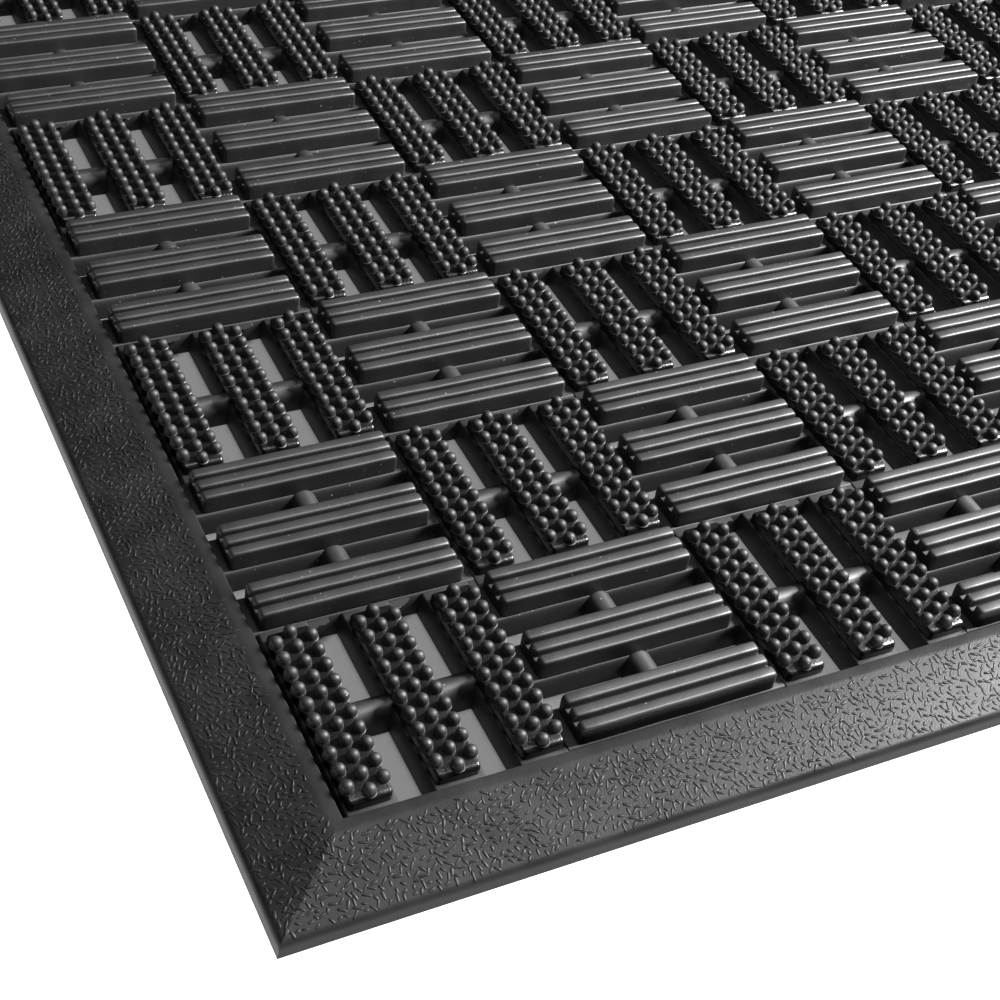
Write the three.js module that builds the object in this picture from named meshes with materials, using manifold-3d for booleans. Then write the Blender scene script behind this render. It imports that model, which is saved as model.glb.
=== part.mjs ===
// A drainage door mat in black moulded rubber, in millimetres.
//
// The field is a basket weave of square blocks. Each block is three parallel bars, and neighbouring
// blocks run at right angles. The weave repeats every two blocks each way, so the field is built from
// modules of two by two blocks. Four mitred ramps frame it and lead a foot up from the floor.
//
// Frame: the origin is at the middle of the underside, +X along the length, +Y to the back, +Z up.

import * as THREE from 'three';
import { mergeVertices } from 'three/addons/utils/BufferGeometryUtils.js';
import Module from 'manifold-3d';

// The weave
const CELL = 60; // pitch from one block to the next
const MODULES_ALONG = 6; // modules along the length
const MODULES_ACROSS = 4; // modules across the width
const BLOCKS_PER_SIDE = 2; // blocks along each side of a module
const BARS_PER_BLOCK = 3;
const BAR_PITCH = 22.3;
const BAR_LENGTH = 56;
const BAR_HEIGHT = 12; // full thickness of the mat
const BAR_TOP_WIDTH = 12.4;
const BODY_HEIGHT = 6.4; // the wider lower body of a bar, which the mould's other half forms
const BODY_TOP_WIDTH = 13.8;
const BODY_FOOT_WIDTH = 15;

// The cross web that ties two bars together at their middles
const WEB_WIDTH = 8.4;
const WEB_TOP_WIDTH = 5;
const WEB_HEIGHT = 7.1;

// The border, measured outwards from its inner wall
const BORDER_OFFSET = 0.5; // from the edge of the outermost cells to the inner wall
const RIM_HEIGHT = 8.8; // flat rim beside the weave, below the tops of the bars
const RIM_EDGE = 0.5; // broken edge of the rim
const RIM_WIDTH = 3.4;
const RAMP_END = [22.3, 4.1]; // where the slope turns over the shoulder
const SHOULDER = [[23.6, 3.3], [24.2, 2]];
const BORDER_WIDTH = 24.5;

// Clearances
const SPLIT_GAP = 0.3; // where two pieces meet
const BITE = 0.5; // overlap of two shapes that are joined
const MITRE_SETBACK = 0.22; // taken off each end of a ramp, along its length

// Finishes
const WEAVE_COLOUR = 0x1b1b1c;
const BORDER_COLOUR = 0x262627;

// Derived sizes
const MODULE = CELL * BLOCKS_PER_SIDE;
const FIELD_LENGTH = MODULE * MODULES_ALONG;
const FIELD_WIDTH = MODULE * MODULES_ACROSS;
const END_INSET = (CELL - BAR_LENGTH) / 2; // from a bar's end to the edge of its cell
const SIDE_INSET = (CELL - (BARS_PER_BLOCK - 1) * BAR_PITCH - BODY_FOOT_WIDTH) / 2;
const JOINED_REACH = END_INSET + SIDE_INSET + BITE + (BODY_FOOT_WIDTH - BODY_TOP_WIDTH) / 2;
const SPLIT_REACH = END_INSET + SIDE_INSET - SPLIT_GAP; // stops at the next module's bar
const EDGE_REACH = END_INSET + BORDER_OFFSET - SPLIT_GAP; // stops at a ramp

const wasm = await Module();
wasm.setup();

function toSolid(geometry) {
  geometry.deleteAttribute('normal');
  geometry.deleteAttribute('uv');
  const merged = mergeVertices(geometry, 1e-4);
  return new wasm.Manifold(new wasm.Mesh({
    numProp: 3,
    vertProperties: new Float32Array(merged.attributes.position.array),
    triVerts: new Uint32Array(merged.index.array),
  }));
}

function toGeometry(solid) {
  const mesh = solid.getMesh();
  const indexed = new THREE.BufferGeometry();
  indexed.setAttribute('position', new THREE.BufferAttribute(mesh.vertProperties, 3));
  indexed.setIndex(new THREE.BufferAttribute(mesh.triVerts, 1));
  const geometry = indexed.toNonIndexed();
  geometry.computeVertexNormals();
  return geometry;
}

// A profile in the X-Z plane, extruded along Y and centred on y = 0
function extrudeAcross(points, width) {
  const shape = new THREE.Shape(points.map(([x, z]) => new THREE.Vector2(x, z)));
  const geometry = new THREE.ExtrudeGeometry(shape, { depth: width, bevelEnabled: false });
  return geometry.rotateX(Math.PI / 2).translate(0, width / 2, 0);
}

// A section in the Y-Z plane, extruded along X between two places
function extrudeAlong(points, from, to) {
  return extrudeAcross(points, to - from).rotateZ(Math.PI / 2).translate((from + to) / 2, 0, 0);
}

// A symmetrical section, from the widths at its foot and its top
function taper(footWidth, topWidth, foot, top) {
  return [
    [-footWidth / 2, foot],
    [footWidth / 2, foot],
    [topWidth / 2, top],
    [-topWidth / 2, top],
  ];
}

// One bar along X from x = 0. Its lower body runs on past both ends as low tongues.
function barGeometries(startReach, endReach) {
  const body = taper(BODY_FOOT_WIDTH, BODY_TOP_WIDTH, 0, BODY_HEIGHT);
  const tread = taper(BAR_TOP_WIDTH, BAR_TOP_WIDTH, BODY_HEIGHT - BITE, BAR_HEIGHT);
  return [
    extrudeAlong(body, -startReach, BAR_LENGTH + endReach),
    extrudeAlong(tread, 0, BAR_LENGTH),
  ];
}

function webGeometry() {
  const length = BAR_PITCH - BAR_TOP_WIDTH + 2 * BITE;
  return extrudeAcross(taper(WEB_WIDTH, WEB_TOP_WIDTH, 0, WEB_HEIGHT), length);
}

// The bars and webs of one block in its cell, bars along X, with the cell's corner at the origin
function blockPieces(startReach, endReach) {
  const pieces = [];
  for (let bar = 0; bar < BARS_PER_BLOCK; bar += 1) {
    const across = CELL / 2 + (bar - (BARS_PER_BLOCK - 1) / 2) * BAR_PITCH;
    for (const geometry of barGeometries(startReach, endReach)) {
      pieces.push(geometry.translate(END_INSET, across, 0));
    }
    if (bar > 0) pieces.push(webGeometry().translate(CELL / 2, across - BAR_PITCH / 2, 0));
  }
  return pieces;
}

// How far a block's tongues reach: index is the block's place along its bars within the module
function tongueReaches(index, onFirstEdge, onLastEdge) {
  const first = index === 0;
  const last = index === BLOCKS_PER_SIDE - 1;
  const start = onFirstEdge ? EDGE_REACH : SPLIT_REACH;
  const end = onLastEdge ? EDGE_REACH : SPLIT_REACH;
  return [first ? start : JOINED_REACH, last ? end : JOINED_REACH];
}

// One module with its corner at the origin. A block whose two indexes add up to an even number has
// its bars along Y, and any other has them along X.
function moduleGeometry(column, row) {
  let solid = null;
  for (let i = 0; i < BLOCKS_PER_SIDE; i += 1) {
    for (let j = 0; j < BLOCKS_PER_SIDE; j += 1) {
      const alongY = (i + j) % 2 === 0;
      const [start, end] = alongY
        ? tongueReaches(j, row === 0, row === MODULES_ACROSS - 1)
        : tongueReaches(i, column === 0, column === MODULES_ALONG - 1);
      for (const piece of blockPieces(start, end)) {
        if (alongY) piece.rotateZ(Math.PI / 2).translate(CELL, 0, 0);
        piece.translate(i * CELL, j * CELL, 0);
        const next = toSolid(piece);
        solid = solid ? solid.add(next) : next;
      }
    }
  }
  return toGeometry(solid);
}

// A ramp along X with its inner wall on y = 0 and its slope towards -Y. Its ends are cut at 45
// degrees by moving each end point out as far as it lies from the inner wall.
function rampGeometry(innerLength) {
  const profile = [
    [0, 0],
    [0, RIM_HEIGHT - RIM_EDGE],
    [RIM_EDGE, RIM_HEIGHT],
    [RIM_WIDTH, RIM_HEIGHT],
    RAMP_END,
    ...SHOULDER,
    [BORDER_WIDTH, 0],
  ];
  const geometry = extrudeAcross(profile, 1).rotateZ(-Math.PI / 2);
  const points = geometry.attributes.position;
  for (let k = 0; k < points.count; k += 1) {
    const halfLength = innerLength / 2 - points.getY(k) - MITRE_SETBACK;
    points.setX(k, Math.sign(points.getX(k)) * halfLength);
  }
  geometry.computeVertexNormals();
  return geometry;
}

function rubber(color, roughness) {
  return new THREE.MeshStandardMaterial({ color, roughness, metalness: 0 });
}

const weaveRubber = rubber(WEAVE_COLOUR, 0.45);
const borderRubber = rubber(BORDER_COLOUR, 0.6);
const mat = new THREE.Group();

for (let row = 0; row < MODULES_ACROSS; row += 1) {
  for (let column = 0; column < MODULES_ALONG; column += 1) {
    const piece = new THREE.Mesh(moduleGeometry(column, row), weaveRubber);
    piece.name = `weave_module_r${row + 1}_c${column + 1}`;
    piece.position.set(column * MODULE - FIELD_LENGTH / 2, row * MODULE - FIELD_WIDTH / 2, 0);
    mat.add(piece);
  }
}

const halfLength = FIELD_LENGTH / 2 + BORDER_OFFSET;
const halfWidth = FIELD_WIDTH / 2 + BORDER_OFFSET;
const ramps = [
  { name: 'ramp_front', inner: 2 * halfLength, place: [0, -halfWidth], turn: 0 },
  { name: 'ramp_right', inner: 2 * halfWidth, place: [halfLength, 0], turn: Math.PI / 2 },
  { name: 'ramp_back', inner: 2 * halfLength, place: [0, halfWidth], turn: Math.PI },
  { name: 'ramp_left', inner: 2 * halfWidth, place: [-halfLength, 0], turn: -Math.PI / 2 },
];
for (const { name, inner, place, turn } of ramps) {
  const ramp = new THREE.Mesh(rampGeometry(inner), borderRubber);
  ramp.name = name;
  ramp.position.set(place[0], place[1], 0);
  ramp.rotation.z = turn;
  mat.add(ramp);
}

export default mat;
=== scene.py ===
"""Drainage door mat in black moulded rubber.

The field is a basket weave of square blocks. A block is three parallel bars tied by two low webs, and
its bars carry either three long ridges or three rows of round knobs. A module of two by two blocks
repeats over the field, and four mitred ramps with a dashed grain frame it. Lengths are in metres.
"""

import math

import bmesh
import bpy
from mathutils import Matrix, Vector


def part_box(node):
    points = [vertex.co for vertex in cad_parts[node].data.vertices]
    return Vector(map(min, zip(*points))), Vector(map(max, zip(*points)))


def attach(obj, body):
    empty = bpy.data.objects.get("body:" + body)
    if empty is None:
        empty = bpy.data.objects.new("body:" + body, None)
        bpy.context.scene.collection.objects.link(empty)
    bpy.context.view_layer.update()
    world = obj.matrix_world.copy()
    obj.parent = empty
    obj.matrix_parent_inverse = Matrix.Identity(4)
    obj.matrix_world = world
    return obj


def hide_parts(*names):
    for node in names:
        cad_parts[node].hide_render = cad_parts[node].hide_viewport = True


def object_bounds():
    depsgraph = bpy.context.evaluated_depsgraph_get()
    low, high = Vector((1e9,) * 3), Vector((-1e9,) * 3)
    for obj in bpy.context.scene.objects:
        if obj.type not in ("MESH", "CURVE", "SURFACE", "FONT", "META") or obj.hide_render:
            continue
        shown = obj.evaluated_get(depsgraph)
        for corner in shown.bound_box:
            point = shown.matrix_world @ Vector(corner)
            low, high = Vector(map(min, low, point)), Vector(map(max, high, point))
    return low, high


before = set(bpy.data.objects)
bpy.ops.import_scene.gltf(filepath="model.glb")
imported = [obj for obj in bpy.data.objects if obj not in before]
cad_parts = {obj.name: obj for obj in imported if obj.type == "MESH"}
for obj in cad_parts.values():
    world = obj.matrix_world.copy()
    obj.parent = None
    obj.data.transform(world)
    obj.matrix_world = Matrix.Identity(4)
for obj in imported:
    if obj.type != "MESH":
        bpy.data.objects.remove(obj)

bl_info = {
    "name": "Drainage door mat",
    "version": (1, 0, 0),
    "blender": (4, 5, 0),
    "location": "3D View > Sidebar > Door Mat",
    "description": "Builds a moulded rubber drainage mat with a basket weave and four mitred ramps",
    "category": "Object",
}

MM = 0.001
CAD_LOW, CAD_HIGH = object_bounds()
MODULE_PREFIX = "weave_module_"
RAMP_NAMES = ("ramp_front", "ramp_right", "ramp_back", "ramp_left")

# The weave repeats from one module to the next, two cells at a time
CELLS_PER_MODULE = 2
NEIGHBOURS = (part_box(MODULE_PREFIX + "r2_c2"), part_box(MODULE_PREFIX + "r2_c3"))
CELL = (NEIGHBOURS[1][0].x - NEIGHBOURS[0][0].x) / CELLS_PER_MODULE
MODULES_ALONG = 6
MODULES_ACROSS = 4
FIELD_LENGTH = MODULES_ALONG * CELLS_PER_MODULE * CELL
FIELD_WIDTH = MODULES_ACROSS * CELLS_PER_MODULE * CELL
BARS_PER_BLOCK = 3
BAR_STEPS = 12  # sections along a tread, enough for its waviness to show
TOP = CAD_HIGH.z


def linear(colour):
    """An sRGB colour written as a hex number, as linear red, green and blue."""
    channels = [((colour >> shift) & 0xFF) / 255 for shift in (16, 8, 0)]
    return [c / 12.92 if c <= 0.04045 else ((c + 0.055) / 1.055) ** 2.4 for c in channels]


def length(name, description, default):
    return bpy.props.FloatProperty(
        name=name, description=description, default=default, min=0, unit="LENGTH", precision=5
    )


def colour(name, description, default):
    return bpy.props.FloatVectorProperty(
        name=name, description=description, default=linear(default), subtype="COLOR", min=0, max=1
    )


# Sizes and finishes a user would change


class BarSizes(bpy.types.PropertyGroup):
    """Sizes of the bars that the weave is made of."""

    pitch: length("Bar pitch", "From one bar of a block to the next", 22.3 * MM)
    run: length("Bar length", "Length of a bar's tread", 56 * MM)
    foot_width: length("Foot width", "Width of the lower body on the floor", 15 * MM)
    body_height: length("Body height", "Height of the lower body, at the tongues", 6.4 * MM)
    belly_width: length("Belly width", "Width of the curve from the body's top to its side", 1.5 * MM)
    belly_height: length("Belly height", "Height of the same curve", 5.2 * MM)
    tongue: length("Tongue reach", "How far the lower body runs past the tread's end", 3 * MM)
    end_round: length("End rounding", "Radius of the tread's two ends", 1.3 * MM)
    web_width: length("Web width", "Width of a cross web", 8 * MM)
    web_height: length("Web height", "Height of a cross web's round top", 7.1 * MM)
    waviness: length("Waviness", "How far the rubber has crept out of true, edge to edge", 0.5 * MM)


class TreadSizes(bpy.types.PropertyGroup):
    """Sizes of the two kinds of tread."""

    ridged_width: length("Ridged width", "Width of a ridged tread", 12.4 * MM)
    ridge_pitch: length("Ridge pitch", "From one ridge to the next", 4.45 * MM)
    ridge_width: length("Ridge width", "Width of one ridge", 3.3 * MM)
    ridge_round: length("Ridge rounding", "Radius of a ridge's edges", 0.75 * MM)
    groove_depth: length("Groove depth", "Depth of the grooves between ridges", 2.2 * MM)
    knobbed_width: length("Knobbed width", "Width of a knobbed tread under its knobs", 11.4 * MM)
    knobbed_height: length("Knobbed height", "Height of the flat that the knobs stand on", 9.4 * MM)
    knobbed_round: length("Knobbed rounding", "Radius of the flat's long edges", 0.8 * MM)
    knob_width: length("Knob width", "Diameter of a knob", 3.5 * MM)
    knob_foot: length("Knob foot", "Radius of the fillet round a knob's foot", 0.25 * MM)
    knob_pitch: length("Knob pitch", "From knob to knob along a row", 5.24 * MM)
    row_spacing: length("Row spacing", "From the middle row to an outer row", 4.6 * MM)
    middle_knobs: bpy.props.IntProperty(
        name="Knobs in the middle row", description="Outer rows have one fewer", default=11, min=2
    )


class RampSizes(bpy.types.PropertyGroup):
    """Sizes of the border, measured outwards from its inner wall."""

    rim_height: length("Rim height", "Height of the smooth rim beside the weave", 8.8 * MM)
    rim_width: length("Rim width", "Width of the smooth rim", 3.4 * MM)
    rim_round: length("Rim rounding", "Radius of the rim's inner edge", 0.5 * MM)
    slope_end: length("Slope end", "Where the slope reaches the shoulder", 22.3 * MM)
    slope_drop: length("Slope drop", "How far the slope falls", 4.7 * MM)
    shoulder: length("Shoulder radius", "Radius of the turn over the outer face", 2.4 * MM)
    width: length("Border width", "Width of the whole border", 24.5 * MM)
    dash_length: length("Dash length", "Length of one raised dash of the grain", 2.3 * MM)
    dash_width: length("Dash width", "Width of one raised dash", 0.8 * MM)
    dash_height: length("Dash height", "Height of one raised dash", 0.14 * MM)
    dash_spacing: length("Dash spacing", "Least distance between the middles of two dashes", 1.35 * MM)


class RubberColours(bpy.types.PropertyGroup):
    """Colours of the two finishes, of the shade painted on the flats between the knobs, and of the floor.
    """

    weave: colour("Weave rubber", "Bars and knobs", 0x1A1A1B)
    lower_weave: colour("Lower weave", "Rubber of the lower body", 0x121213)
    # Painted shade: a blacker colour for the knobbed treads' flats, in place of the shade that the knobs
    # cast between them
    flat_painted_shade: colour("Polished rubber", "Flats between the knobs", 0x0C0C0D)
    border: colour("Border rubber", "Ramps", 0x1B1B1C)
    border_bloom: colour("Border bloom", "Paler patches on the ramps", 0x252526)
    dust: colour("Dust", "Pale specks", 0x8A8A88)
    floor: colour("Floor", "Plain pale floor", 0xDCDCDC)


# Mesh helpers


def arc(centre, radius, start, end, steps):
    """Points of a circular arc, its angles in degrees."""
    points = []
    for k in range(steps + 1):
        angle = math.radians(start + (end - start) * k / steps)
        points.append((centre[0] + radius * math.cos(angle), centre[1] + radius * math.sin(angle)))
    return points


def closed_loft(bm, rings):
    """Joins closed rings of points with quads, and caps both ends."""
    loops = [[bm.verts.new(point) for point in ring] for ring in rings]
    count = len(loops[0])
    for near, far in zip(loops, loops[1:]):
        for k in range(count):
            after = (k + 1) % count
            bm.faces.new((near[k], near[after], far[after], far[k]))
    bm.faces.new(loops[0])
    bm.faces.new(list(reversed(loops[-1])))


def finish_mesh(bm, name, sharp_angle=32):
    """A mesh with its faces pointing out, smooth but for the edges sharper than the angle."""
    bmesh.ops.recalc_face_normals(bm, faces=bm.faces[:])
    mesh = bpy.data.meshes.new(name)
    bm.to_mesh(mesh)
    bm.free()
    mesh.polygons.foreach_set("use_smooth", [True] * len(mesh.polygons))
    mesh.set_sharp_from_angle(angle=math.radians(sharp_angle))
    return mesh


def mark(part, name, test):
    """Gives every vertex that passes the test the value 1, in an attribute of that name."""
    values = part.data.attributes.new(name, "FLOAT", "POINT").data
    for vertex, entry in zip(part.data.vertices, values):
        entry.value = 1.0 if test(vertex.co) else 0.0


def part_object(bm, name, sharp_angle=32):
    """An object that only a node tree uses."""
    return bpy.data.objects.new(name, finish_mesh(bm, name, sharp_angle))


def bar_rings(outline, run, end_round):
    """Rings of a tread whose ends are rounded off. The outline takes how far it shrinks."""
    straight = run / 2 - end_round
    stations = []
    for angle in (90, 75, 55, 30):
        reach = straight + end_round * math.sin(math.radians(angle))
        stations.append((-reach, end_round * (1 - math.cos(math.radians(angle)))))
    middle = [(straight * (2 * k / BAR_STEPS - 1), 0) for k in range(BAR_STEPS + 1)]
    far_end = [(-x, shrink) for x, shrink in reversed(stations)]
    return [[(x, y, z) for y, z in outline(shrink)] for x, shrink in stations + middle + far_end]


# Bars, webs, knobs and flash, each at its own origin and along X


def lower_body(bm, bars):
    """The wide lower half of a bar, with its bellied sides and its tongues."""
    half = bars.foot_width / 2
    shoulder = bars.body_height - bars.belly_height
    belly = [(y * bars.belly_width, z * bars.belly_height) for y, z in arc((0, 0), 1, 0, 90, 9)]
    ring = [(-half, 0), (half, 0)]
    ring += [(half - bars.belly_width + y, shoulder + z) for y, z in belly]
    ring += [(bars.belly_width - half - y, shoulder + z) for y, z in reversed(belly)]
    reach = bars.run / 2 + bars.tongue
    closed_loft(bm, [[(x, y, z) for y, z in ring] for x in (-reach, reach)])


def ridged_bar(bars, treads):
    """A bar whose tread has three long ridges."""
    root = bars.body_height - bars.belly_height / 2

    def outline(shrink):
        half = treads.ridged_width / 2 - 0.7 * shrink
        ring = [(-half, root), (half, root)]
        groove = min(TOP - treads.groove_depth, TOP - shrink - 0.1 * MM)
        for centre in (treads.ridge_pitch, 0, -treads.ridge_pitch):
            edge = treads.ridge_width / 2 - 0.6 * shrink
            radius = min(treads.ridge_round, 0.9 * edge)
            top = TOP - shrink - radius
            ring.append((centre + edge + 0.05 * MM, groove))
            ring += arc((centre + edge - radius, top), radius, 0, 90, 4)
            ring += arc((centre - edge + radius, top), radius, 90, 180, 4)
            ring.append((centre - edge - 0.05 * MM, groove))
        return ring

    bm = bmesh.new()
    lower_body(bm, bars)
    closed_loft(bm, bar_rings(outline, bars.run, bars.end_round))
    return part_object(bm, "ridged_bar")


def knobbed_bar(bars, treads):
    """A bar whose tread is flat between its knobs."""
    root = bars.body_height - bars.belly_height / 2

    def outline(shrink):
        half = treads.knobbed_width / 2 - 0.9 * shrink
        radius = treads.knobbed_round
        turn = treads.knobbed_height - shrink - radius
        ring = [(-half - 0.3 * MM, root), (half + 0.3 * MM, root)]
        ring += arc((half - radius, turn), radius, 0, 90, 5)
        ring += arc((radius - half, turn), radius, 90, 180, 5)
        return ring

    bm = bmesh.new()
    lower_body(bm, bars)
    closed_loft(bm, bar_rings(outline, bars.run, bars.end_round))
    part = part_object(bm, "knobbed_bar")
    # This mark makes the tread above the lower body glossier and pitted, and it also carries the shade
    # painted on its flats
    mark(part, "polished", lambda point: point.z > bars.body_height)
    return part


def cross_web(bars, treads):
    """A low wall with a round top that ties two bars at their middles, along Y."""
    half = bars.web_width / 2
    turn = bars.web_height - half
    ring = [(-half - 0.2 * MM, 0), (half + 0.2 * MM, 0)] + arc((0, turn), half, 0, 180, 14)
    reach = (bars.pitch - treads.knobbed_width) / 2 + 1 * MM
    bm = bmesh.new()
    closed_loft(bm, [[(x, y, z) for x, z in ring] for y in (-reach, reach)])
    return part_object(bm, "cross_web")


def knob(treads):
    """A round-headed knob on a short stub, with a fillet round its foot."""
    radius = treads.knob_width / 2
    height = TOP - treads.knobbed_height
    stub = max(height - 0.9 * radius, 0)
    fillet = treads.knob_foot
    profile = [(radius + fillet, -0.1 * MM), (radius + 0.3 * fillet, 0.3 * fillet), (radius, stub)]
    for angle in (30, 54, 76):
        lift = math.sin(math.radians(angle)) * (height - stub)
        profile.append((radius * math.cos(math.radians(angle)), stub + lift))
    sides = 12
    turns = [2 * math.pi * k / sides for k in range(sides)]
    bm = bmesh.new()
    rings = []
    for reach, z in profile:
        rings.append([bm.verts.new((reach * math.cos(t), reach * math.sin(t), z)) for t in turns])
    for low, high in zip(rings, rings[1:]):
        for k in range(sides):
            after = (k + 1) % sides
            bm.faces.new((low[k], low[after], high[after], high[k]))
    bm.faces.new(rings[0])
    tip = bm.verts.new((0, 0, height))
    for k in range(sides):
        bm.faces.new((rings[-1][k], rings[-1][(k + 1) % sides], tip))
    part = part_object(bm, "knob")
    mark(part, "knob_head", lambda point: point.z > 0.5 * stub)
    return part


def flash(bars):
    """A thin tab of flash on the next bar's ledge, beside this bar's end. Its edge is torn later."""
    start = bars.foot_width / 2 - 1.2 * MM
    stop = start + 6 * MM
    wall = (CELL - bars.pitch * (BARS_PER_BLOCK - 1) - bars.foot_width) / 2
    back = CELL / 2 + wall + 1.4 * MM
    front = bars.run / 2 + 1.2 * MM
    top = bars.body_height - 0.4 * MM
    edge_foot = top - 0.25 * MM
    root_foot = top - 0.4 * MM
    steps = 16
    bm = bmesh.new()
    rings = []
    for k in range(steps + 1):
        y = -(start + (stop - start) * k / steps)
        edge = front + (back - front) * 0.45 * (k / steps) ** 3
        rings.append([(back, y, top), (edge, y, top), (edge, y, edge_foot), (back, y, root_foot)])
    closed_loft(bm, rings)
    part = part_object(bm, "flash")
    mark(part, "torn", lambda point: point.x < back - 0.3 * MM)
    return part


# Node trees


def add_node(tree, kind, inputs=None, **settings):
    """Adds a node, sets it up, and gives each input its value or its link."""
    node = tree.nodes.new(kind)
    for name, value in settings.items():
        setattr(node, name, value)
    for key, value in (inputs or {}).items():
        if isinstance(value, bpy.types.NodeSocket):
            tree.links.new(value, node.inputs[key])
        else:
            node.inputs[key].default_value = value
    return node


def new_tree(name, sockets):
    """A geometry tree with the named inputs and one geometry output."""
    tree = bpy.data.node_groups.new(name, "GeometryNodeTree")
    for label, kind in sockets:
        tree.interface.new_socket(name=label, in_out="INPUT", socket_type="NodeSocket" + kind)
    tree.interface.new_socket(name="Geometry", in_out="OUTPUT", socket_type="NodeSocketGeometry")
    return tree, tree.nodes.new("NodeGroupInput").outputs


def close_tree(tree, parts, material):
    """Joins the parts, makes them real and gives them their material."""
    joined = add_node(tree, "GeometryNodeJoinGeometry")
    for part in parts:
        tree.links.new(part, joined.inputs["Geometry"])
    real = add_node(tree, "GeometryNodeRealizeInstances", {"Geometry": joined.outputs[0]})
    painted = add_node(
        tree, "GeometryNodeSetMaterial", {"Geometry": real.outputs[0], "Material": material}
    )
    add_node(tree, "NodeGroupOutput", {0: painted.outputs[0]})


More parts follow.
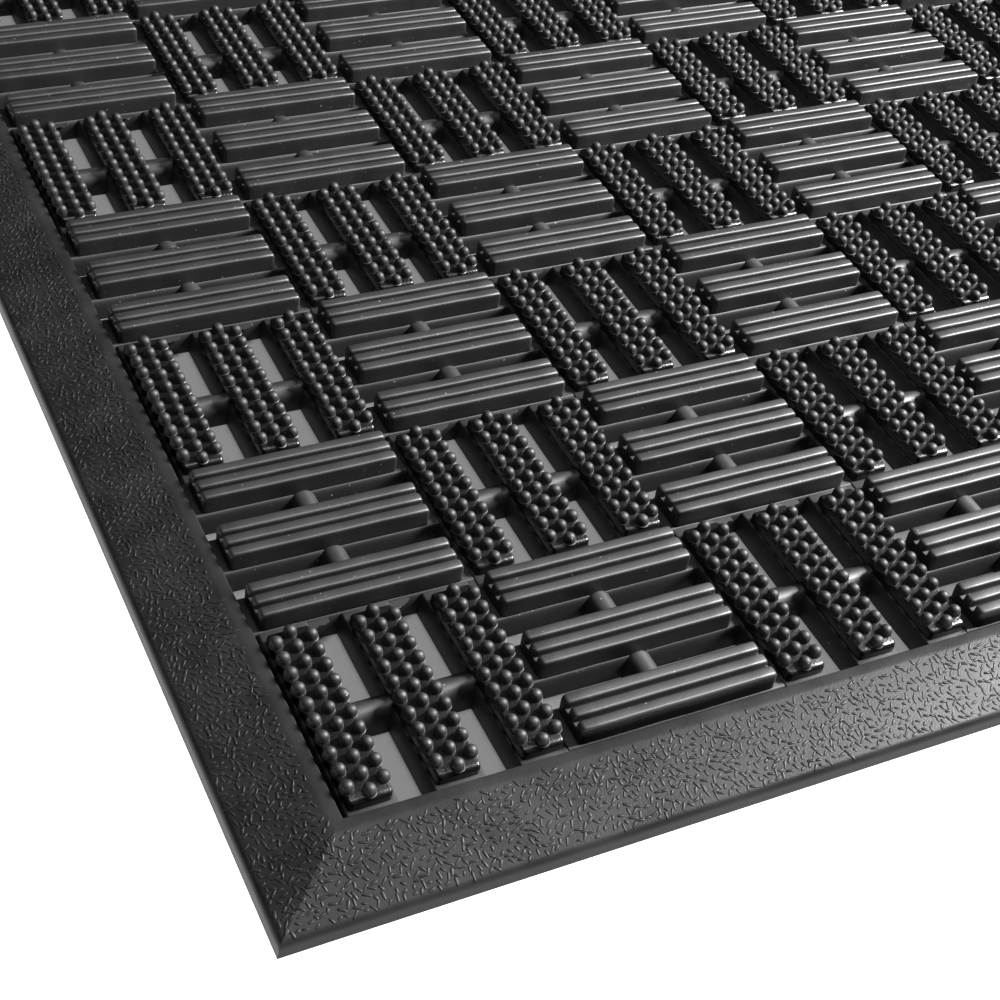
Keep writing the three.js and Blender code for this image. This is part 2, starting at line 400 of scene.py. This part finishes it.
def weave_tree():
    """One module: bars, webs, knobs and flash, set out by rule from the module's corner."""
    tree, given = new_tree("Weave module", [
        ("Geometry", "Geometry"),
        ("Ridged bar", "Object"),
        ("Knobbed bar", "Object"),
        ("Web", "Object"),
        ("Knob", "Object"),
        ("Flash", "Object"),
        ("Corner", "Vector"),
        ("Cell", "Float"),
        ("Bar pitch", "Float"),
        ("Knob pitch", "Float"),
        ("Row spacing", "Float"),
        ("Middle knobs", "Int"),
        ("Knob foot", "Float"),
        ("Waviness", "Float"),
        ("Seed", "Int"),
        ("Material", "Material"),
    ])

    def shape(name):
        return add_node(tree, "GeometryNodeObjectInfo", {"Object": given[name]}).outputs["Geometry"]

    def scaled(vector, factor):
        node = add_node(tree, "ShaderNodeVectorMath", {0: vector, "Scale": factor}, operation="SCALE")
        return node.outputs["Vector"]

    def added(first, second):
        return add_node(tree, "ShaderNodeVectorMath", {0: first, 1: second}).outputs["Vector"]

    def result_of(first, second, operation="ADD"):
        return add_node(tree, "ShaderNodeMath", {0: first, 1: second}, operation=operation).outputs[0]

    def line(count, start, offset):
        node = add_node(
            tree, "GeometryNodeMeshLine", {"Count": count, "Start Location": start, "Offset": offset}
        )
        return node.outputs["Mesh"]

    def placed(points, instance, **inputs):
        values = {"Points": points, "Instance": instance}
        values.update({name.replace("_", " ").title(): value for name, value in inputs.items()})
        return add_node(tree, "GeometryNodeInstanceOnPoints", values).outputs[0]

    def join(*parts):
        node = add_node(tree, "GeometryNodeJoinGeometry")
        for part in parts:
            tree.links.new(part, node.inputs["Geometry"])
        return node.outputs[0]

    def random_vector(low, high, seed_step):
        seed = result_of(given["Seed"], seed_step)
        node = add_node(
            tree, "FunctionNodeRandomValue", {0: low, 1: high, "Seed": seed}, data_type="FLOAT_VECTOR"
        )
        return node.outputs[0]

    # A block lies along X: its bars step along Y, with a web between each two
    step = scaled((0, 1, 0), given["Bar pitch"])
    bar_places = line(BARS_PER_BLOCK, scaled(step, -1), step)
    web_places = line(BARS_PER_BLOCK - 1, scaled(step, -0.5), step)
    webs = placed(web_places, shape("Web"))
    ridged_block = join(placed(bar_places, shape("Ridged bar")), webs)
    knobbed_block = join(placed(bar_places, shape("Knobbed bar")), webs)

    # Ridged blocks and turned knobbed blocks share the module like the squares of a chessboard
    knobbed_cells = line(2, scaled((0.5, 0.5, 0), given["Cell"]), scaled((1, 1, 0), given["Cell"]))
    ridged_cells = line(2, scaled((1.5, 0.5, 0), given["Cell"]), scaled((-1, 1, 0), given["Cell"]))
    quarter_turn = (0, 0, math.pi / 2)
    blocks = join(
        placed(ridged_cells, ridged_block), placed(knobbed_cells, knobbed_block, rotation=quarter_turn)
    )

    # Three rows of knobs along a bar, the outer two staggered by half a pitch
    half_pitch = scaled((-0.5, 0, 0), given["Knob pitch"])
    middle_start = scaled(half_pitch, result_of(given["Middle knobs"], -1))
    outer_start = scaled(half_pitch, result_of(given["Middle knobs"], -2))
    knob_step = scaled((1, 0, 0), given["Knob pitch"])
    side = scaled((0, 1, 0), given["Row spacing"])
    outer_count = result_of(given["Middle knobs"], -1)
    rows = join(
        line(given["Middle knobs"], middle_start, knob_step),
        line(outer_count, added(outer_start, side), knob_step),
        line(outer_count, added(outer_start, scaled(side, -1)), knob_step),
    )
    block_rows = placed(bar_places, rows)
    knob_places = add_node(
        tree,
        "GeometryNodeRealizeInstances",
        {"Geometry": placed(knobbed_cells, block_rows, rotation=quarter_turn)},
    )
    foot = add_node(tree, "ShaderNodeCombineXYZ", {"Z": given["Knob foot"]})
    shift = 0.1 * MM
    jitter = random_vector((-shift, -shift, -shift), (shift, shift, 0), 1)
    lifted = add_node(
        tree,
        "GeometryNodeSetPosition",
        {"Geometry": knob_places.outputs[0], "Offset": added(foot.outputs[0], jitter)},
    )
    knobs = placed(
        lifted.outputs[0], shape("Knob"), scale=random_vector((0.94, 0.94, 0.95), (1.04, 1.04, 1), 2)
    )

    # Flash at the back end of every knobbed bar, its free edge torn by noise
    tabs = placed(bar_places, shape("Flash"))
    tab_places = add_node(
        tree,
        "GeometryNodeRealizeInstances",
        {"Geometry": placed(knobbed_cells, tabs, rotation=quarter_turn)},
    )
    moved = add_node(
        tree,
        "GeometryNodeTransform",
        {"Geometry": tab_places.outputs[0], "Translation": given["Corner"]},
    )
    raggedness = add_node(tree, "ShaderNodeTexNoise", {"Scale": 1 / (1.6 * MM), "Detail": 3.0})
    weight = add_node(tree, "GeometryNodeInputNamedAttribute", {"Name": "torn"}, data_type="FLOAT")
    depth = result_of(raggedness.outputs[0], -0.35)
    pull = result_of(result_of(depth, weight.outputs["Attribute"], "MULTIPLY"), -3.2 * MM, "MULTIPLY")
    tear = add_node(tree, "ShaderNodeCombineXYZ", {"Y": pull})
    torn = add_node(
        tree, "GeometryNodeSetPosition", {"Geometry": moved.outputs[0], "Offset": tear.outputs[0]}
    )

    field = add_node(
        tree,
        "GeometryNodeTransform",
        {"Geometry": join(blocks, knobs), "Translation": given["Corner"]},
    )
    # Every piece of the field creeps a little sideways, in waves about 12 mm long
    solid_field = add_node(tree, "GeometryNodeRealizeInstances", {"Geometry": field.outputs[0]})
    waves = add_node(tree, "ShaderNodeTexNoise", {"Scale": 1 / (12 * MM), "Detail": 2.0})
    creep = scaled(added(waves.outputs["Color"], (-0.5, -0.5, -0.5)), given["Waviness"])
    level = add_node(tree, "ShaderNodeVectorMath", {0: creep, 1: (1, 1, 0)}, operation="MULTIPLY")
    wavy = add_node(
        tree,
        "GeometryNodeSetPosition",
        {"Geometry": solid_field.outputs[0], "Offset": level.outputs["Vector"]},
    )
    close_tree(tree, (given["Geometry"], wavy.outputs[0], torn.outputs[0]), given["Material"])
    return tree


def grain_tree():
    """Strews short raised dashes over the faces marked as grained."""
    tree, given = new_tree("Dashed grain", [
        ("Geometry", "Geometry"),
        ("Dash", "Object"),
        ("Spacing", "Float"),
        ("Seed", "Int"),
        ("Material", "Material"),
    ])
    grained = add_node(
        tree, "GeometryNodeInputNamedAttribute", {"Name": "grained"}, data_type="BOOLEAN"
    )
    # The density is more than the spacing can hold, so the spacing alone decides
    spread = add_node(
        tree,
        "GeometryNodeDistributePointsOnFaces",
        {
            "Mesh": given["Geometry"],
            "Selection": grained.outputs["Attribute"],
            "Distance Min": given["Spacing"],
            "Density Max": 2.0 / MM**2,
            "Seed": given["Seed"],
        },
        distribute_method="POISSON",
    )
    angle = add_node(
        tree,
        "FunctionNodeRandomValue",
        {0: (0, 0, 0), 1: (0, 0, math.pi), "Seed": given["Seed"]},
        data_type="FLOAT_VECTOR",
    )
    turned = add_node(
        tree,
        "FunctionNodeRotateRotation",
        {"Rotation": spread.outputs["Rotation"], "Rotate By": angle.outputs[0]},
        rotation_space="LOCAL",
    )
    size = add_node(
        tree,
        "FunctionNodeRandomValue",
        {0: (0.6, 0.8, 0.6), 1: (1.25, 1.15, 1.2), "Seed": given["Seed"]},
        data_type="FLOAT_VECTOR",
    )
    dash = add_node(tree, "GeometryNodeObjectInfo", {"Object": given["Dash"]})
    dashes = add_node(
        tree,
        "GeometryNodeInstanceOnPoints",
        {
            "Points": spread.outputs["Points"],
            "Instance": dash.outputs["Geometry"],
            "Rotation": turned.outputs[0],
            "Scale": size.outputs[0],
        },
    )
    close_tree(tree, (given["Geometry"], dashes.outputs[0]), given["Material"])
    return tree


def grown_piece(name, mesh, tree, values):
    """Runs a node tree on a mesh and returns the result as a plain object."""
    piece = bpy.data.objects.new(name, mesh)
    modifier = piece.modifiers.new("Grow", "NODES")
    modifier.node_group = tree
    for item in tree.interface.items_tree:
        if item.item_type == "SOCKET" and item.in_out == "INPUT" and item.name in values:
            modifier[item.identifier] = values[item.name]
    bpy.context.scene.collection.objects.link(piece)
    evaluated = piece.evaluated_get(bpy.context.evaluated_depsgraph_get())
    result = bpy.data.meshes.new_from_object(evaluated)
    piece.modifiers.remove(modifier)
    piece.data = result
    result.name = name
    return piece


# Materials


def weave_rubber(colours, body_height):
    """Nitrile rubber from a polished mould: near black and half glossy on the treads and knobs,
    blacker and a little duller on the lower body."""
    material = bpy.data.materials.new("polished_moulded_nitrile")
    material.use_nodes = True
    tree = material.node_tree
    shader = tree.nodes["Principled BSDF"]
    place = add_node(tree, "ShaderNodeTexCoord").outputs["Object"]
    height = add_node(tree, "ShaderNodeSeparateXYZ", {0: place}).outputs["Z"]
    lower = add_node(
        tree,
        "ShaderNodeMapRange",
        {"Value": height, "From Min": body_height + 0.35 * MM, "From Max": body_height + 0.15 * MM},
    )
    # Flow marks of the rubber in the mould, about 9 mm across
    flow = add_node(
        tree, "ShaderNodeTexNoise", {"Vector": place, "Scale": 1 / (9 * MM), "Detail": 4.0}
    )
    # Surface texture of the mould, in grains of about 0.35 mm
    fine = add_node(
        tree, "ShaderNodeTexNoise", {"Vector": place, "Scale": 1 / (0.35 * MM), "Detail": 2.0}
    )
    # Pale specks of lint and crumbs
    speck = add_node(
        tree, "ShaderNodeTexNoise", {"Vector": place, "Scale": 1 / (0.9 * MM), "Detail": 1.0}
    )
    specks = add_node(
        tree,
        "ShaderNodeMapRange",
        {"Value": speck.outputs["Fac"], "From Min": 0.765, "From Max": 0.80},
    )
    base = add_node(
        tree,
        "ShaderNodeMix",
        {0: lower.outputs[0], 6: (*colours.weave, 1), 7: (*colours.lower_weave, 1)},
        data_type="RGBA",
    )
    dusty = add_node(
        tree,
        "ShaderNodeMix",
        {0: specks.outputs[0], 6: base.outputs[2], 7: (*colours.dust, 1)},
        data_type="RGBA",
    )
    gloss = add_node(
        tree,
        "ShaderNodeMapRange",
        {"Value": flow.outputs["Fac"], "From Min": 0.3, "From Max": 0.7, "To Min": 0.44, "To Max": 0.54},
    )
    dull = add_node(
        tree,
        "ShaderNodeMath",
        {0: lower.outputs[0], 1: 0.06, 2: gloss.outputs[0]},
        operation="MULTIPLY_ADD",
    )
    bump = add_node(
        tree,
        "ShaderNodeBump",
        {"Height": fine.outputs["Fac"], "Strength": 0.45, "Distance": 0.08 * MM},
    )
    # The flats under the knobs are polished and pitted, with pits about 0.8 mm across
    pits = add_node(
        tree, "ShaderNodeTexNoise", {"Vector": place, "Scale": 1 / (0.8 * MM), "Detail": 3.0}
    )
    polished = add_node(tree, "ShaderNodeAttribute", attribute_name="polished").outputs["Fac"]
    pitted = add_node(
        tree, "ShaderNodeMath", {0: pits.outputs["Fac"], 1: polished}, operation="MULTIPLY"
    )
    shiny = add_node(
        tree,
        "ShaderNodeMath",
        {0: polished, 1: -0.2, 2: dull.outputs[0]},
        operation="MULTIPLY_ADD",
    )
    # The knobs' heads are duller than the rest
    heads = add_node(tree, "ShaderNodeAttribute", attribute_name="knob_head").outputs["Fac"]
    roughness = add_node(
        tree, "ShaderNodeMath", {0: heads, 1: 0.08, 2: shiny.outputs[0]}, operation="MULTIPLY_ADD"
    )
    # Ridged treads reflect more than the knobs, their flats and the lower body
    ridged_sheen = 0.72
    plain_sheen = 0.5
    upper_dull = add_node(
        tree, "ShaderNodeMath", {0: heads, 1: polished}, operation="ADD", use_clamp=True
    )
    plain = add_node(
        tree,
        "ShaderNodeMath",
        {0: upper_dull.outputs[0], 1: lower.outputs[0]},
        operation="ADD",
        use_clamp=True,
    )
    sheen = add_node(
        tree,
        "ShaderNodeMath",
        {0: plain.outputs[0], 1: plain_sheen - ridged_sheen, 2: ridged_sheen},
        operation="MULTIPLY_ADD",
    )
    # Painted shade: the marked flats between the knobs take a blacker colour, for the shade that the knobs
    # cast on them
    flats_with_painted_shade = add_node(
        tree,
        "ShaderNodeMix",
        {0: polished, 6: dusty.outputs[2], 7: (*colours.flat_painted_shade, 1)},
        data_type="RGBA",
    )
    pitting = add_node(
        tree,
        "ShaderNodeBump",
        {
            "Height": pitted.outputs[0],
            "Normal": bump.outputs["Normal"],
            "Strength": 0.35,
            "Distance": 0.25 * MM,
        },
    )
    tree.links.new(flats_with_painted_shade.outputs[2], shader.inputs["Base Color"])
    tree.links.new(roughness.outputs[0], shader.inputs["Roughness"])
    tree.links.new(sheen.outputs[0], shader.inputs["Specular IOR Level"])
    tree.links.new(pitting.outputs["Normal"], shader.inputs["Normal"])
    shader.inputs["IOR"].default_value = 1.52
    return material


def border_rubber(colours):
    """Nitrile rubber from a spark-eroded mould: satin, with a faint pebble under the raised dashes and
    paler patches."""
    material = bpy.data.materials.new("satin_moulded_nitrile")
    material.use_nodes = True
    tree = material.node_tree
    shader = tree.nodes["Principled BSDF"]
    place = add_node(tree, "ShaderNodeTexCoord").outputs["Object"]
    # Patches about 12 mm across
    mottle = add_node(
        tree, "ShaderNodeTexNoise", {"Vector": place, "Scale": 1 / (12 * MM), "Detail": 5.0}
    )
    # Eroded mould texture, 0.5 mm
    pebble = add_node(
        tree, "ShaderNodeTexNoise", {"Vector": place, "Scale": 1 / (0.5 * MM), "Detail": 3.0}
    )
    patches = add_node(
        tree, "ShaderNodeMapRange", {"Value": mottle.outputs["Fac"], "From Min": 0.35, "From Max": 0.7}
    )
    tint = add_node(
        tree,
        "ShaderNodeMix",
        {0: patches.outputs[0], 6: (*colours.border, 1), 7: (*colours.border_bloom, 1)},
        data_type="RGBA",
    )
    gloss = add_node(
        tree,
        "ShaderNodeMapRange",
        {"Value": mottle.outputs["Fac"], "From Min": 0.3, "From Max": 0.7, "To Min": 0.37, "To Max": 0.46},
    )
    bump = add_node(
        tree,
        "ShaderNodeBump",
        {"Height": pebble.outputs["Fac"], "Strength": 0.4, "Distance": 0.12 * MM},
    )
    tree.links.new(tint.outputs[2], shader.inputs["Base Color"])
    tree.links.new(gloss.outputs[0], shader.inputs["Roughness"])
    tree.links.new(bump.outputs["Normal"], shader.inputs["Normal"])
    shader.inputs["IOR"].default_value = 1.52
    shader.inputs["Specular IOR Level"].default_value = 0.16
    return material


def floor_finish(colours):
    """Matt white studio board, which shows no gloss."""
    material = bpy.data.materials.new("matt_studio_board")
    material.use_nodes = True
    shader = material.node_tree.nodes["Principled BSDF"]
    shader.inputs["Base Color"].default_value = (*colours.floor, 1)
    shader.inputs["Roughness"].default_value = 0.95
    shader.inputs["Specular IOR Level"].default_value = 0.1
    return material


# Operators


class DOORMAT_OT_weave(bpy.types.Operator):
    """Build the modules of the basket weave"""

    bl_idname = "doormat.weave"
    bl_label = "Weave Modules"

    def execute(self, context):
        bars = context.scene.doormat_bars
        treads = context.scene.doormat_treads
        tree = weave_tree()
        shapes = {
            "Ridged bar": ridged_bar(bars, treads),
            "Knobbed bar": knobbed_bar(bars, treads),
            "Web": cross_web(bars, treads),
            "Knob": knob(treads),
            "Flash": flash(bars),
        }
        values = {
            "Cell": CELL,
            "Bar pitch": bars.pitch,
            "Knob pitch": treads.knob_pitch,
            "Row spacing": treads.row_spacing,
            "Middle knobs": treads.middle_knobs,
            "Knob foot": treads.knobbed_height,
            "Waviness": bars.waviness,
            "Material": weave_rubber(context.scene.doormat_colours, bars.body_height),
        }
        module = CELLS_PER_MODULE * CELL
        for row in range(MODULES_ACROSS):
            for column in range(MODULES_ALONG):
                node = f"{MODULE_PREFIX}r{row + 1}_c{column + 1}"
                corner = (column * module - FIELD_LENGTH / 2, row * module - FIELD_WIDTH / 2, 0)
                seed = row * MODULES_ALONG + column
                given = {**shapes, **values, "Corner": corner, "Seed": seed}
                piece = grown_piece("looks_" + node, bpy.data.meshes.new(node), tree, given)
                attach(piece, "root")
                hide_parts(node)
        for shape in shapes.values():
            bpy.data.objects.remove(shape)
        return {"FINISHED"}


def dash(ramps):
    """One raised dash of the grain, along X: a low rounded ridge with its foot sunk in the slope."""
    half_length = ramps.dash_length / 2
    half_width = ramps.dash_width / 2
    run = half_length - half_width
    outline = ((1, 0, 1), (1, 1, 0), (-1, 1, 0), (-1, 0, -1), (-1, -1, 0), (1, -1, 0))
    levels = ((1, -0.03 * MM), (0.66, 0.62 * ramps.dash_height), (0.28, ramps.dash_height))
    bm = bmesh.new()
    rings = []
    for spread, z in levels:
        reach = half_width * spread
        rings.append([(end * run + tip * reach, side * reach, z) for end, side, tip in outline])
    closed_loft(bm, rings)
    return part_object(bm, "dash", 180)


def ramp_mesh(ramps, inner_length, place, turn):
    """A ramp along X with its inner wall on y = 0 and its slope towards -Y, then turned and placed.
    Each end is cut at 45 degrees by running every point on as far as it lies from the inner wall."""
    radius = ramps.shoulder
    slope_low = ramps.rim_height - ramps.slope_drop
    fall = math.degrees(math.atan2(ramps.slope_drop, ramps.slope_end - ramps.rim_width))
    face_lean = 4  # degrees that the outer face leans in
    turn_centre = (ramps.slope_end - radius * math.sin(math.radians(fall)), slope_low - radius)
    profile = [(0, 0)]
    profile += arc((ramps.rim_round, ramps.rim_height - ramps.rim_round), ramps.rim_round, 180, 90, 4)
    # The rim turns into the slope over 1 mm
    profile.append((ramps.rim_width - 0.6 * MM, ramps.rim_height))
    profile.append((ramps.rim_width + 0.4 * MM, ramps.rim_height - 0.05 * MM))
    first_grained = len(profile) - 1
    profile += arc(turn_centre, radius, 90 - fall, face_lean, 8)
    profile.append((ramps.width, 0))
    bm = bmesh.new()
    marks = bm.faces.layers.bool.new("grained")
    ends = []
    for side in (-1, 1):
        ends.append([bm.verts.new((side * (inner_length / 2 + u), -u, z)) for u, z in profile])
    count = len(profile)
    for k in range(count):
        after = (k + 1) % count
        face = bm.faces.new((ends[0][k], ends[0][after], ends[1][after], ends[1][k]))
        face[marks] = k == first_grained
    bm.faces.new(ends[0])
    bm.faces.new(list(reversed(ends[1])))
    bm.transform(Matrix.Translation((*place, 0)) @ Matrix.Rotation(turn, 4, "Z"))
    return finish_mesh(bm, "ramp", 20)


class DOORMAT_OT_ramps(bpy.types.Operator):
    """Build the four ramps of the border"""

    bl_idname = "doormat.ramps"
    bl_label = "Border Ramps"

    def execute(self, context):
        ramps = context.scene.doormat_ramps
        tree = grain_tree()
        shape = dash(ramps)
        values = {
            "Dash": shape,
            "Spacing": ramps.dash_spacing,
            "Material": border_rubber(context.scene.doormat_colours),
        }
        half_length = CAD_HIGH.x - ramps.width
        half_width = CAD_HIGH.y - ramps.width
        sides = (
            (half_length, (0, -half_width), 0),
            (half_width, (half_length, 0), math.pi / 2),
            (half_length, (0, half_width), math.pi),
            (half_width, (-half_length, 0), -math.pi / 2),
        )
        for seed, (node, (half_inner, place, turn)) in enumerate(zip(RAMP_NAMES, sides)):
            mesh = ramp_mesh(ramps, 2 * half_inner, place, turn)
            piece = grown_piece("looks_" + node, mesh, tree, {**values, "Seed": seed})
            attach(piece, "root")
            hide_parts(node)
        bpy.data.objects.remove(shape)
        return {"FINISHED"}


class DOORMAT_OT_stage(bpy.types.Operator):
    """Set up the floor, the lights and the camera"""

    bl_idname = "doormat.stage"
    bl_label = "Stage"

    def execute(self, context):
        scene = context.scene
        scene.view_settings.view_transform = "Standard"
        finish = floor_finish(scene.doormat_colours)
        floor = board("floor", length_along=8, length_across=8, height=-0.3 * MM, finish=finish)
        # The floor under the mat is a board of its own, because the lamps treat it otherwise
        inset = 8 * MM
        along = 2 * (CAD_HIGH.x - inset)
        across = 2 * (CAD_HIGH.y - inset)
        covered = board("covered_floor", along, across, height=-0.02 * MM, finish=finish)

        corner = Vector((-FIELD_LENGTH / 2, -FIELD_WIDTH / 2, TOP))
        # The middle of the view is a point in the field, near its front left corner
        aim = corner + Vector((77.4 * MM, 81.5 * MM, 0))
        camera = bpy.data.objects.new("camera", bpy.data.cameras.new("camera"))
        camera.data.lens = 66.3
        camera.data.sensor_width = 36
        camera.data.clip_start = 0.01
        camera.matrix_world = looking(aim, azimuth=31.5, elevation=42.4, distance=0.498, roll=9.28)
        scene.collection.objects.link(camera)
        scene.camera = camera

        # A softbox on the right is the key for the mat alone. Another lights only the open floor, and
        # nothing shades it there. A weak one overhead reaches into the slots.
        away = 1.6
        key = softbox("key_softbox", aim, -86, 38, away, size=(0.4, 0.4), power=118)
        key.light_linking.receiver_collection = linked("key_skips", "EXCLUDE", floor, covered)
        wash = softbox("floor_softbox", aim, -45, 50, away, size=(0.6, 0.6), power=110)
        wash.light_linking.receiver_collection = linked("wash_lights", "INCLUDE", floor)
        wash.light_linking.blocker_collection = linked("wash_meets", "INCLUDE", floor)
        softbox("overhead_softbox", aim, -120, 88, away, size=(0.7, 0.7), power=8)
        world = bpy.data.worlds.new("studio")
        world.use_nodes = True
        background = world.node_tree.nodes["Background"]
        background.inputs["Color"].default_value = (1, 1, 1, 1)
        background.inputs["Strength"].default_value = 0.035
        scene.world = world
        return {"FINISHED"}


def looking(aim, azimuth, elevation, distance, roll):
    """The matrix of something that looks at a point. Azimuth 0 looks along +Y and 90 along +X."""
    around, down, lean = (math.radians(a) for a in (azimuth, elevation, roll))
    ahead = Vector((
        math.sin(around) * math.cos(down),
        math.cos(around) * math.cos(down),
        -math.sin(down),
    ))
    level = ahead.cross((0, 0, 1)).normalized()
    right = level * math.cos(lean) + level.cross(ahead) * math.sin(lean)
    turn = Matrix((right, right.cross(ahead), -ahead)).transposed().to_4x4()
    return Matrix.Translation(aim - ahead * distance) @ turn


def softbox(name, aim, azimuth, elevation, distance, size, power):
    """A rectangular area light turned towards the aim."""
    light = bpy.data.lights.new(name, "AREA")
    light.shape = "RECTANGLE"
    light.size, light.size_y = size
    light.energy = power
    lamp = bpy.data.objects.new(name, light)
    lamp.matrix_world = looking(aim, azimuth, elevation, distance, 0)
    bpy.context.scene.collection.objects.link(lamp)
    return lamp


def linked(name, state, *targets):
    """A collection that a lamp's light linking uses to take in or leave out the targets."""
    group = bpy.data.collections.new(name)
    for target in targets:
        group.objects.link(target)
    for entry in group.collection_objects:
        entry.light_linking.link_state = state
    return group


def board(name, length_along, length_across, height, finish):
    """A flat rectangular board of the stage, centred under the mat."""
    bm = bmesh.new()
    bmesh.ops.create_grid(bm, x_segments=1, y_segments=1, size=0.5)
    bmesh.ops.scale(bm, verts=bm.verts[:], vec=(length_along, length_across, 1))
    bmesh.ops.translate(bm, verts=bm.verts[:], vec=(0, 0, height))
    piece = part_object(bm, name)
    piece.data.materials.append(finish)
    bpy.context.scene.collection.objects.link(piece)
    return piece


class DOORMAT_PT_panel(bpy.types.Panel):
    """Lists the steps of the mat in the sidebar"""

    bl_label = "Door Mat"
    bl_idname = "DOORMAT_PT_panel"
    bl_space_type = "VIEW_3D"
    bl_region_type = "UI"
    bl_category = "Door Mat"

    def draw(self, context):
        column = self.layout.column()
        for group in SETTINGS:
            settings = getattr(context.scene, group)
            for name in settings.bl_rna.properties.keys():
                if name not in ("rna_type", "name"):
                    column.prop(settings, name)
        for operator in OPERATORS:
            column.operator(operator.bl_idname)


SETTINGS = {
    "doormat_bars": BarSizes,
    "doormat_treads": TreadSizes,
    "doormat_ramps": RampSizes,
    "doormat_colours": RubberColours,
}
OPERATORS = (DOORMAT_OT_stage, DOORMAT_OT_weave, DOORMAT_OT_ramps)


def register():
    for group in SETTINGS.values():
        bpy.utils.register_class(group)
    for operator in OPERATORS:
        bpy.utils.register_class(operator)
    bpy.utils.register_class(DOORMAT_PT_panel)
    for name, group in SETTINGS.items():
        setattr(bpy.types.Scene, name, bpy.props.PointerProperty(type=group))


def unregister():
    for name in SETTINGS:
        delattr(bpy.types.Scene, name)
    bpy.utils.unregister_class(DOORMAT_PT_panel)
    for operator in reversed(OPERATORS):
        bpy.utils.unregister_class(operator)
    for group in reversed(SETTINGS.values()):
        bpy.utils.unregister_class(group)


def main():
    register()
    bpy.ops.doormat.stage()
    bpy.ops.doormat.weave()
    bpy.ops.doormat.ramps()


if __name__ == "__main__":
    main()
